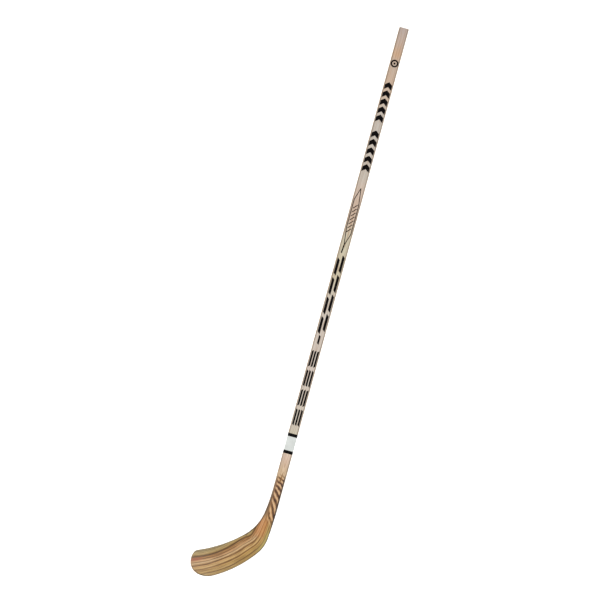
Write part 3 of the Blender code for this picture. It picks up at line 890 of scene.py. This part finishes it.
def shaft_ply(name, low, high, looks):
    glass = "glass" in name
    middle = low < 0 < high
    side = 1 if low + high > 0 else -1
    inner, outer = sorted((abs(low), abs(high)))
    levels = np.linspace(0.0, 1.0, PLY_POINTS)
    if glass:
        end = CLOSING - GLUE_GAP / 2
        levels = np.sin(levels * math.pi / 2)
        if side < 0:
            levels = 1 - levels[::-1]
    elif middle:
        end = TONGUE_S - GLUE_GAP
    else:
        end = ply_end(inner, outer)
    rings = []
    for s in ply_stations(end):
        bounds = (low, high)
        if not (glass or middle):
            bounds = sorted(side * distance for distance in ply_limits(s, inner, outer))
        rings.append(ply_ring(s, *bounds, levels, glass))
    weights = [1.0] * (2 * PLY_POINTS)
    weights[PLY_POINTS - 1] = 1.0 if name == "shaft_glass_front" else HIDDEN_PLY
    weights[-1] = 1.0 if name == "shaft_glass_back" else HIDDEN_PLY
    return solid(name + "_detail", rings, weights, looks, rows=SHAFT_ROWS)


def build_shaft():
    ends = {"ash": end_grain_look("ash end grain", (196, 172, 138), (150, 116, 82), 2.0),
            "core": end_grain_look("core end grain", (208, 188, 152), (170, 136, 98), 6.0),
            "glass": end_grain_look("glass end", (176, 158, 128), (140, 118, 90), 9.0)}
    slots = {"glass": "shaft_glass", "ash": "ash", "core": "core_wood"}
    ash = side_grain_look("ash edge", (202, 176, 142), (164, 130, 94), 3.0)
    for number, (name, low, high) in enumerate(ply_bands()):
        kind = name.split("_")[1]
        if kind == "glass":
            look = shaft_face_look(1 if "front" in name else 0)
        elif kind == "ash":
            look = ash
        else:
            pale = (206, 182, 144) if number % 2 else (214, 194, 160)
            look = side_grain_look(f"core edge {number}", pale, (176, 144, 106), 5.0 + number)
        wear(shaft_ply(name, low, high, (look, ends[kind])), slots[kind], name)


# ---- blade
def blade_stations(start, end):
    """Cross-sections between start and end, closer together round the toe."""
    toe = TOE_S - TOE_LOWER_ROUND
    straight = min(toe, end)
    marks = list(np.linspace(start, straight, max(2, round((straight - start) / FINE_STEP))))
    for i in range(1, TOE_STEPS + 1):
        s = toe + TOE_LOWER_ROUND * math.sin(i / TOE_STEPS * math.pi / 2)
        if s < end - 0.00005:
            marks.append(s)
    fold = (start + end) / BLADE_ROWS
    return sorted(set(marks[:-1] + [fold, end]))


def blade_skin(name, side, look):
    """Glass skin over the blade and hosel: a smooth face with rounded edges.

    The rings start in the middle of an edge, so that opposite points face each other."""
    across = np.concatenate(([0.012], np.linspace(0.04, 0.96, SKIN_POINTS), [0.988]))
    turn = np.linspace(0.0, 1.0, SKIN_TURN_POINTS)
    rings = []
    for s in blade_stations(GLUE_GAP / 2 - CLOSING, TOE_S - TIP_CUT):
        low_d, high_d = outline(s)
        outer = skin_half(s)
        inner = wood_half(s) + GLUE_GAP - CLOSING
        room = (high_d - low_d) / 2
        ring = Ring(s)
        levels = [inner + (outer - inner) * math.sin(t * math.pi / 2) for t in turn]
        insets = [min(side_inset(s, h), room * 0.98) for h in levels]
        for h, inset in zip(levels, insets):
            ring.add(low_d + inset, side * h)
        for part in across:
            ring.add(low_d + insets[-1] + (high_d - low_d - 2 * insets[-1]) * part, side * outer)
        for h, inset in zip(levels[::-1], insets[::-1]):
            ring.add(high_d - inset, side * h)
        for part in across[::-1]:
            ring.add(low_d + insets[0] + (high_d - low_d - 2 * insets[0]) * part, side * inner)
        ring.turn(SKIN_TURN_POINTS - 1)
        rings.append(ring)
    count = len(rings[0].points)
    face = 2 * SKIN_TURN_POINTS + len(across)
    weights = [1.0] * (face - 1) + [HIDDEN_SKIN] * (count - face + 1)
    weights = weights[SKIN_TURN_POINTS - 1:] + weights[:SKIN_TURN_POINTS - 1]
    return solid(name + "_detail", rings, weights, (look,), rows=BLADE_ROWS)


def strip_limits(s, low, high):
    edge_low, edge_high = outline(s)
    return max(low, edge_low), min(high, edge_high)


def strip_range(low, high):
    """First and last s of a strip: the tongue's tip or the throat, and the toe."""
    kept = []
    for s in np.arange(TONGUE_S, TOE_S, 0.0001):
        bottom, top = strip_limits(s, low, high)
        if top - bottom > SLIVER:
            kept.append(s)
    return float(kept[0]), float(kept[-1])


def strip_half_at(s, low, high):
    """Half thickness at the strip's lower and upper side; beside the cheeks it is thicker."""
    inside = strip_half(s) + CLOSING
    full = wood_half(s) + CLOSING
    lower = inside if low < SHAFT_WIDTH and s < FOOT_S else full
    upper = full if high > SHAFT_WIDTH or s >= FOOT_S else inside
    return lower, upper


def strip_ring(s, low, high):
    """Cross-section of a strip; one that crosses the shaft's edge has a shoulder there."""
    bottom, top = strip_limits(s, low, high)
    lower, upper = strip_half_at(s, low, high)
    shoulder = SHAFT_WIDTH + GLUE_GAP / 2
    if low < SHAFT_WIDTH < high and s < FOOT_S and top > shoulder + 0.0006:
        spots = [bottom, shoulder, shoulder + GLUE_GAP, top]
        halves = [lower, lower, upper, upper]
    else:
        if low < SHAFT_WIDTH < high and s < FOOT_S:
            upper = lower
        spots = [bottom + (top - bottom) * part for part in (0.0, 0.35, 0.7, 1.0)]
        halves = [lower, lower, upper, upper]
    ring = Ring(s)
    rising = np.linspace(-1.0, 1.0, STRIP_POINTS)
    for part in rising:
        ring.add(spots[0] + side_inset(s, halves[0]) * abs(part) ** 6, part * halves[0], part * 0.003)
    for d, half in zip(spots[1:-1], halves[1:-1]):
        ring.add(d, half)
    for part in rising[::-1]:
        ring.add(spots[-1] - side_inset(s, halves[-1]) * abs(part) ** 6, part * halves[-1],
                 0.1 + part * 0.003)
    for d, half in zip(spots[-2:0:-1], halves[-2:0:-1]):
        ring.add(d, -half)
    return ring


def blade_strip(number, look):
    low = number * STRIP_PITCH + (GLUE_GAP / 2 - CLOSING if number else 0.0)
    high = (number + 1) * STRIP_PITCH - GLUE_GAP / 2 + CLOSING
    rings = [strip_ring(s, low, high) for s in blade_stations(*strip_range(low, high))]
    for ring in rings:
        ring.turn(STRIP_POINTS // 2)
    weights = [1.0] * len(rings[0].points)
    return solid(f"blade_strip_{number + 1}_detail", rings, weights, (look,), rows=BLADE_ROWS)


def build_blade():
    for name, side in (("blade_glass_front", 1), ("blade_glass_back", -1)):
        made = blade_skin(name, side, blade_face_look(1 if side > 0 else 0))
        wear(made, "blade_glass", name)
    tones = ((190, 168, 128), (204, 150, 92), (214, 168, 108), (206, 164, 118),
             (176, 122, 78), (188, 150, 98), (178, 158, 124))
    for number in range(STRIPS):
        pale = tones[number % len(tones)]
        dark = tuple(part * share for part, share in zip(pale, (0.66, 0.58, 0.5)))
        look = side_grain_look(f"strip edge {number + 1}", pale, dark, 40.0 + number)
        wear(blade_strip(number, look), "blade_wood", f"blade_strip_{number + 1}")


# ---- bands
def band_ring(s, proud):
    """Shaft section at s moved outwards by proud, corner by corner, starting on the back."""
    radius = SHAFT_CORNER + proud
    ring = Ring(s)
    around = 0.0
    for quarter, (d, side) in enumerate(((SHAFT_CORNER, -1), (SHAFT_CORNER, 1),
                                         (SHAFT_WIDTH - SHAFT_CORNER, 1),
                                         (SHAFT_WIDTH - SHAFT_CORNER, -1))):
        for step in range(BAND_CORNER_STEPS + 1):
            angle = math.radians(90 * (quarter - 1 + step / BAND_CORNER_STEPS))
            ring.add(d - radius * math.cos(angle),
                     side * (HALF_SHAFT - SHAFT_CORNER) + radius * math.sin(angle), around)
            around += BAND_CORNER_RUN if step < BAND_CORNER_STEPS else BAND_FACE_RUN
    return ring


def band(name, low, high, look):
    """Sleeve of thin film with slightly rounded edges, lying on the shaft's surface."""
    start = HOSEL_TOP - high
    end = HOSEL_TOP - low
    # Each place is s, the height above the shaft, and the columns of the map up to the next.
    path = ((start, FILM_UNDER, 0.02, 0.05), (start, FILM_EDGE, 0.05, 0.08),
            (start + FILM_ROUND, FILM_PROUD, 0.10, 0.90), (end - FILM_ROUND, FILM_PROUD, 0.92, 0.95),
            (end, FILM_EDGE, 0.95, 0.98), (end, FILM_UNDER, 0.985, 0.995))
    loops = [band_ring(s, proud) for s, proud, _, _ in path]
    count = len(loops[0].points)
    verts = [tuple(point) for loop in loops for point in loop.points]
    faces = []
    grain = []
    baked = []
    for i, (near, far) in enumerate(zip(loops, loops[1:] + loops[:1])):
        next_i = (i + 1) % len(loops)
        low_u, high_u = path[i][2:]
        for j in range(count):
            k = (j + 1) % count
            faces.append((i * count + j, i * count + k, next_i * count + k, next_i * count + j))
            grain += [near.grain[j], near.grain[k], far.grain[k], far.grain[j]]
            low_v, high_v = (0.01 + 0.98 * n / count for n in (j, j + 1))
            baked += [(low_u, low_v), (low_u, high_v), (high_u, high_v), (high_u, low_v)]
    return link_mesh(name, verts, faces, (look,), maps=(("grain", grain), ("OFBake", baked)),
                     sharp_from=40.0)


def build_bands():
    black = film_look("black film", (10, 7, 9), (92, 88, 84), 0.30)
    white = film_look("white film", (216, 220, 216), (176, 176, 170), 0.34)
    lower = BAND_LOWER_MIDDLE - BAND_BLACK / 2
    first = lower + BAND_BLACK
    second = first + GLUE_GAP + BAND_WHITE
    wear(band("band_black_lower_detail", lower, first, black), "black_film", "band_black_lower")
    wear(band("band_white_detail", first + GLUE_GAP / 2, second + GLUE_GAP / 2, white),
         "white_film", "band_white")
    wear(band("band_black_upper_detail", second + GLUE_GAP, second + GLUE_GAP + BAND_BLACK, black),
         "black_film", "band_black_upper")


# ---- printed marks
# Places on the front face are (x, y): x from its middle, and y up the shaft from the heel.
ROW_PITCH = 0.0570
ROW_LENGTH = 0.0455
ROWS = 4
TRIPLE_START = 0.3635       # three bars side by side
TRIPLE_SPACING = 0.0076
TRIPLE_WIDTH = 0.0052
DASH_START = 0.601
DASH_LENGTH = 0.0245
DASH_WIDTH = 0.0056
PAIR_START = 0.6365         # two bars side by side, one ahead of the other
PAIR_HALF_SPACING = 0.0060
PAIR_WIDTH = 0.0074
PAIR_STAGGER = 0.0045
LOZENGE_LOW = 0.889
LOZENGE_HIGH = 1.056
LOZENGE_HALF = 0.0084
LOZENGE_POINT = 0.0020      # how far the two ends stand beside the middle
LOZENGE_STEEP = 0.050       # lengths of the slanting sides
LOZENGE_BLUNT = 0.034
HATCH_PITCH = 0.0115
HATCH_RISE = 0.0060
ARROW_GROUPS = ((1.1035, 0.0246), (1.2485, 0.0236))     # start and pitch
ARROWS = 5
ARROW_HALF = 0.0104
ARROW_THICK = 0.0146
ARROW_RISE = 0.0080
RING_HEIGHT = 1.4200
RING_OUTER = 0.0110
RING_INNER = 0.0066
RING_DOT = 0.0030
INK_BLACK = (14, 8, 10)


def bar(x, y, width, length, slant):
    """Bar along the shaft with slanted ends, as corners."""
    half = width / 2
    lean = slant * half
    return [(x - half, y + lean), (x + half, y - lean),
            (x + half, y + length - lean), (x - half, y + length + lean)]


def chevron(y):
    """Arrowhead stripe right across the face, pointing up the shaft."""
    lower = [(-ARROW_HALF, y), (0.0, y + ARROW_RISE), (ARROW_HALF, y)]
    return lower + [(x, height + ARROW_THICK) for x, height in lower[::-1]]


def circle(radius, steps):
    angles = np.linspace(0, 2 * math.pi, steps, endpoint=False)
    return [(radius * math.cos(a), RING_HEIGHT + radius * math.sin(a)) for a in angles]


def ring_and_dot():
    """Ring as one quad per step, with a dot in its middle."""
    inner, outer = circle(RING_INNER, 48), circle(RING_OUTER, 48)
    quads = [[inner[i - 1], outer[i - 1], outer[i], inner[i]] for i in range(48)]
    return quads + [circle(RING_DOT, 24)]


def stroke(points, width):
    """Polyline as one quad per leg."""
    shapes = []
    for (x0, y0), (x1, y1) in zip(points, points[1:]):
        run = math.hypot(x1 - x0, y1 - y0)
        px, py = -(y1 - y0) / run * width / 2, (x1 - x0) / run * width / 2
        shapes.append([(x0 - px, y0 - py), (x1 - px, y1 - py), (x1 + px, y1 + py), (x0 + px, y0 + py)])
    return shapes


def rows_of_bars():
    """Rows of long bars on the lower half of the shaft, with one short dash between them."""
    shapes = []
    for i in range(ROWS):
        slant = 0.7 if i % 2 == 0 else -0.7
        y = TRIPLE_START + i * ROW_PITCH
        shapes += [bar(x, y, TRIPLE_WIDTH, ROW_LENGTH, slant)
                   for x in (-TRIPLE_SPACING, 0.0, TRIPLE_SPACING)]
        y = PAIR_START + i * ROW_PITCH
        shapes += [bar(side * PAIR_HALF_SPACING, y + side * PAIR_STAGGER, PAIR_WIDTH, ROW_LENGTH, 0.9)
                   for side in (-1, 1)]
    shapes.append(bar(0.0, DASH_START, DASH_WIDTH, DASH_LENGTH, 0.7))
    return shapes


def lozenge():
    """Long thin-lined lozenge, hatched on the slant, with a tail below."""
    low, high, half = LOZENGE_LOW, LOZENGE_HIGH, LOZENGE_HALF
    top, bottom = (LOZENGE_POINT, high), (-LOZENGE_POINT, low)
    shapes = stroke([top, (-half, high - LOZENGE_BLUNT), (-half, low + LOZENGE_STEEP), bottom,
                     (half, low + LOZENGE_BLUNT), (half, high - LOZENGE_STEEP), top], 0.0022)
    reach = half - 0.0028
    y = low + 0.044
    while y < high - 0.044:
        shapes += stroke([(-reach, y - HATCH_RISE), (reach, y + HATCH_RISE)], 0.0024)
        y += HATCH_PITCH
    return shapes + stroke([bottom, (-0.0038, low - 0.023)], 0.0036)


def ink(name, shapes, look):
    """Flat ink shapes on the front face, each a thin closed plate."""
    verts = []
    faces = []
    for shape in shapes:
        area = sum(x0 * y1 - x1 * y0 for (x0, y0), (x1, y1) in zip(shape, shape[1:] + shape[:1]))
        corners = shape if area > 0 else shape[::-1]
        base = len(verts)
        count = len(corners)
        for proud in (INK_UNDER, INK_PROUD):
            for x, y in corners:
                spot = place(HOSEL_TOP - y, SHAFT_WIDTH / 2 - x, HALF_SHAFT + proud)
                verts.append(tuple(spot))
        faces.append(tuple(base + count + i for i in range(count)))
        faces.append(tuple(base + i for i in reversed(range(count))))
        for i in range(count):
            j = (i + 1) % count
            faces.append((base + i, base + j, base + count + j, base + count + i))
    wear(link_mesh(name, verts, faces, (look,)), "black_film")


def build_marks():
    bold = ink_look("black ink", (176, 150, 124), 0.3)
    faded = ink_look("fine ink", (96, 78, 48), 0.9)
    arrows = [chevron(start + i * pitch) for start, pitch in ARROW_GROUPS for i in range(ARROWS)]
    ink("print_bars", rows_of_bars(), bold)
    ink("print_arrows", arrows, bold)
    ink("print_cartouche", lozenge(), faded)
    ink("print_ring", ring_and_dot(), bold)


# ---- surroundings
def build_floor():
    half = 12.0
    z = ORIGIN[2] - 0.0006
    look = Look("floor")
    where = look.node("ShaderNodeTexCoord")
    cloud = look.node("ShaderNodeTexNoise")
    look.tree.links.new(where.outputs["Object"], cloud.inputs["Vector"])
    cloud.inputs["Scale"].default_value = 3.0
    colour = look.blend(cloud.outputs[0], (0.925, 0.925, 0.925), (0.935, 0.935, 0.935))
    look.shader.inputs["Emission Color"].default_value = (1.0, 1.0, 1.0, 1.0)
    look.shader.inputs["Emission Strength"].default_value = 0.5
    corners = [(-half, -half, z), (half, -half, z), (half, half, z), (-half, half, z)]
    link_mesh("floor", corners, [(0, 1, 2, 3)], (look.finish(colour, 0.9),))


def build_light(name, location, size, power):
    light = bpy.data.lights.new(name, "AREA")
    light.shape = "SQUARE"
    light.size = size
    light.energy = power
    lamp = bpy.data.objects.new(name, light)
    lamp.location = location
    lamp.rotation_euler = (-Vector(location)).to_track_quat("-Z", "Y").to_euler()
    bpy.context.scene.collection.objects.link(lamp)


def build_world():
    world = bpy.data.worlds.new("studio")
    world.use_nodes = True
    backdrop = world.node_tree.nodes["Background"]
    backdrop.inputs["Color"].default_value = (1.0, 1.0, 1.0, 1.0)
    backdrop.inputs["Strength"].default_value = 0.84
    bpy.context.scene.world = world
    bpy.context.scene.view_settings.view_transform = "Standard"


def build_camera():
    """Straight down on the playing face, through a long lens."""
    height = 6.02
    width_seen = 1.690
    turned = 15.33
    data = bpy.data.cameras.new("camera")
    data.sensor_width = 36.0
    data.lens = data.sensor_width * (height - SHAFT_THICKNESS) / width_seen
    data.clip_start = 0.1
    data.clip_end = 100.0
    camera = bpy.data.objects.new("camera", data)
    camera.location = (0.0046, 0.0001, height)
    camera.rotation_euler = (0.0, 0.0, math.radians(turned))
    bpy.context.scene.collection.objects.link(camera)
    bpy.context.scene.camera = camera


build_shaft()
build_blade()
build_bands()
build_marks()
build_floor()
build_world()
build_light("key", (-2.4, -1.4, 3.0), 2.6, 84.0)
build_light("fill", (2.6, 1.2, 2.6), 2.6, 44.0)
build_camera()
bpy.context.view_layer.update()
